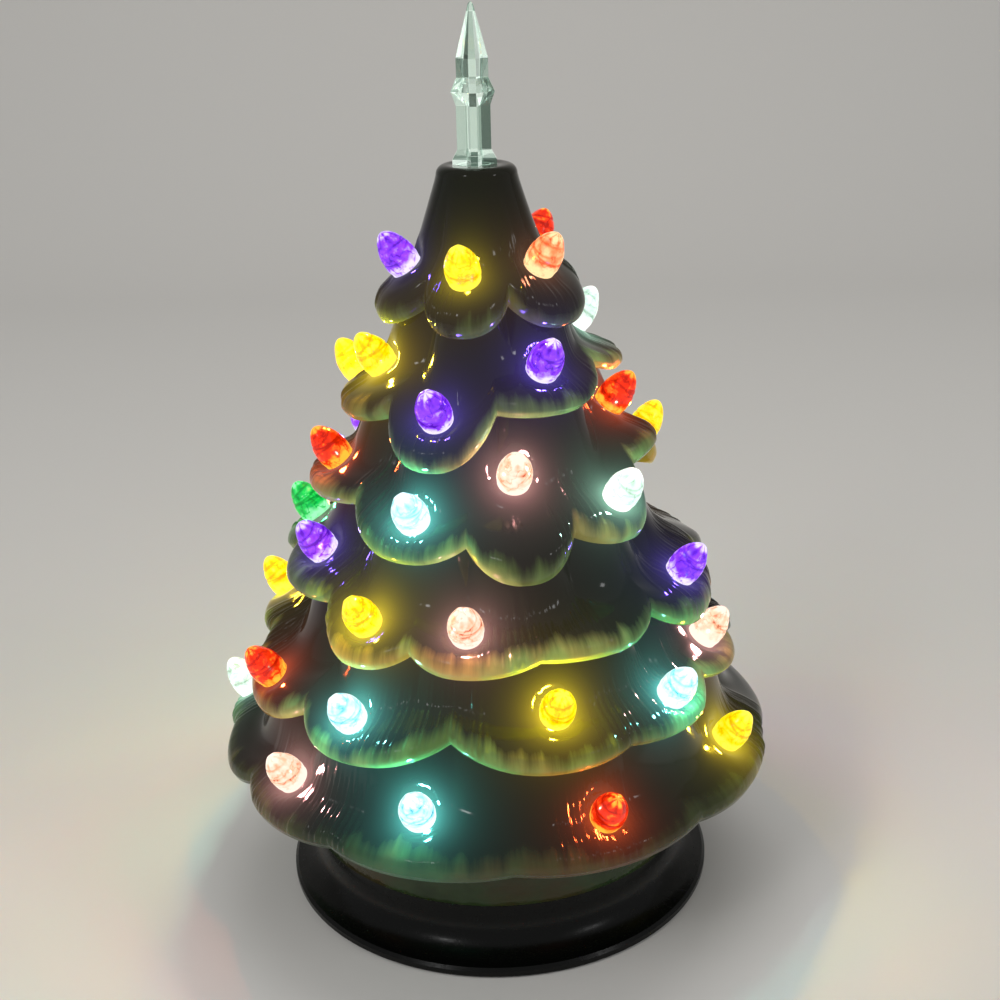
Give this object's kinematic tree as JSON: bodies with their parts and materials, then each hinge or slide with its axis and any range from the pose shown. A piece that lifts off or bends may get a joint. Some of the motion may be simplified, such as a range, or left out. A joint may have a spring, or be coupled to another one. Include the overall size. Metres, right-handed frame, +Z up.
{
  "type": "ceramic christmas tree",
  "caption": "Glossy dark green table-top ceramic tree with lobed tiers, push-in glowing bulbs and a clear spire, standing on a round black battery base.",
  "frame": {"origin": "middle of the bounding box on the table plane, which is on the axis of the tree", "axes": "+Z up along the tree, -Y towards the front, +X to the right seen from the front"},
  "size_m": [0.1565, 0.1538, 0.242],
  "materials": {
    "green_glaze": "glossy dark green glaze over brushed needle texture",
    "clear_acrylic": "clear moulded acrylic",
    "black_plastic": "high gloss",
    "black_plastic_matte": "fine matte",
    "screw_steel": "plated",
    "cell_jacket": "plain printed jacket",
    "contact_steel": "plated spring steel",
    "switch_black": "fine matte",
    "white_plastic": "satin",
    "board_green": "white solder mask",
    "chip_yellow": "phosphor gel",
    "frosted_plastic": "frosted",
    "lead_red": "insulated lead",
    "purple_bulb": "translucent moulded",
    "yellow_bulb": "translucent moulded",
    "orange_bulb": "translucent moulded",
    "red_bulb": "translucent moulded",
    "cyan_bulb": "translucent moulded",
    "pink_bulb": "translucent moulded",
    "clear_bulb": "translucent moulded",
    "green_bulb": "translucent moulded"
  },
  "bodies": {
    "base": {"base_dish": "black_plastic", "bottom_plate": "black_plastic_matte", "plate_screws": "screw_steel", "battery_1": "cell_jacket", "battery_2": "cell_jacket", "battery_3": "cell_jacket", "contacts": "contact_steel", "switch_body": "switch_black", "lamp_post": "white_plastic", "light_board": "board_green", "light_chips": "chip_yellow", "light_shade": "frosted_plastic", "leads": "lead_red"},
    "tree": {"tree_shell": "green_glaze", "tier_1_cyan_bulbs": "cyan_bulb", "tier_1_orange_bulbs": "orange_bulb", "tier_1_purple_bulbs": "purple_bulb", "tier_1_red_bulbs": "red_bulb", "tier_1_yellow_bulbs": "yellow_bulb", "tier_2_clear_bulbs": "clear_bulb", "tier_2_green_bulbs": "green_bulb", "tier_2_purple_bulbs": "purple_bulb", "tier_2_red_bulbs": "red_bulb", "tier_2_yellow_bulbs": "yellow_bulb", "tier_3_clear_bulbs": "clear_bulb", "tier_3_cyan_bulbs": "cyan_bulb", "tier_3_green_bulbs": "green_bulb", "tier_3_pink_bulbs": "pink_bulb", "tier_3_purple_bulbs": "purple_bulb", "tier_3_red_bulbs": "red_bulb", "tier_3_yellow_bulbs": "yellow_bulb", "tier_4_cyan_bulbs": "cyan_bulb", "tier_4_green_bulbs": "green_bulb", "tier_4_pink_bulbs": "pink_bulb", "tier_4_purple_bulbs": "purple_bulb", "tier_4_red_bulbs": "red_bulb", "tier_4_yellow_bulbs": "yellow_bulb", "tier_5_clear_bulbs": "clear_bulb", "tier_5_cyan_bulbs": "cyan_bulb", "tier_5_green_bulbs": "green_bulb", "tier_5_pink_bulbs": "pink_bulb", "tier_5_purple_bulbs": "purple_bulb", "tier_5_red_bulbs": "red_bulb", "tier_5_yellow_bulbs": "yellow_bulb", "tier_6_clear_bulbs": "clear_bulb", "tier_6_cyan_bulbs": "cyan_bulb", "tier_6_pink_bulbs": "pink_bulb", "tier_6_purple_bulbs": "purple_bulb", "tier_6_red_bulbs": "red_bulb", "tier_6_yellow_bulbs": "yellow_bulb"},
    "topper": {"topper": "clear_acrylic"},
    "switch": {"switch_knob": "switch_black"},
    "door": {"battery_door": "black_plastic_matte", "door_screw": "screw_steel"}
  },
  "joints": [
    {"name": "tree_lift", "type": "slide", "parent": "base", "child": "tree", "axis": [0, 0, 1], "range_m": [0, 0.095]},
    {"name": "topper_lift", "type": "slide", "parent": "tree", "child": "topper", "axis": [0, 0, 1], "range_m": [0, 0.012]},
    {"name": "switch_slide", "type": "slide", "parent": "base", "child": "switch", "axis": [0, 1, 0], "range_m": [0, 0.004]},
    {"name": "door_swing", "type": "hinge", "parent": "base", "child": "door", "pos_m": [0, -0.02155, 0.0021], "axis": [-1, 0, 0], "range_deg": [0, 85]}
  ]
}
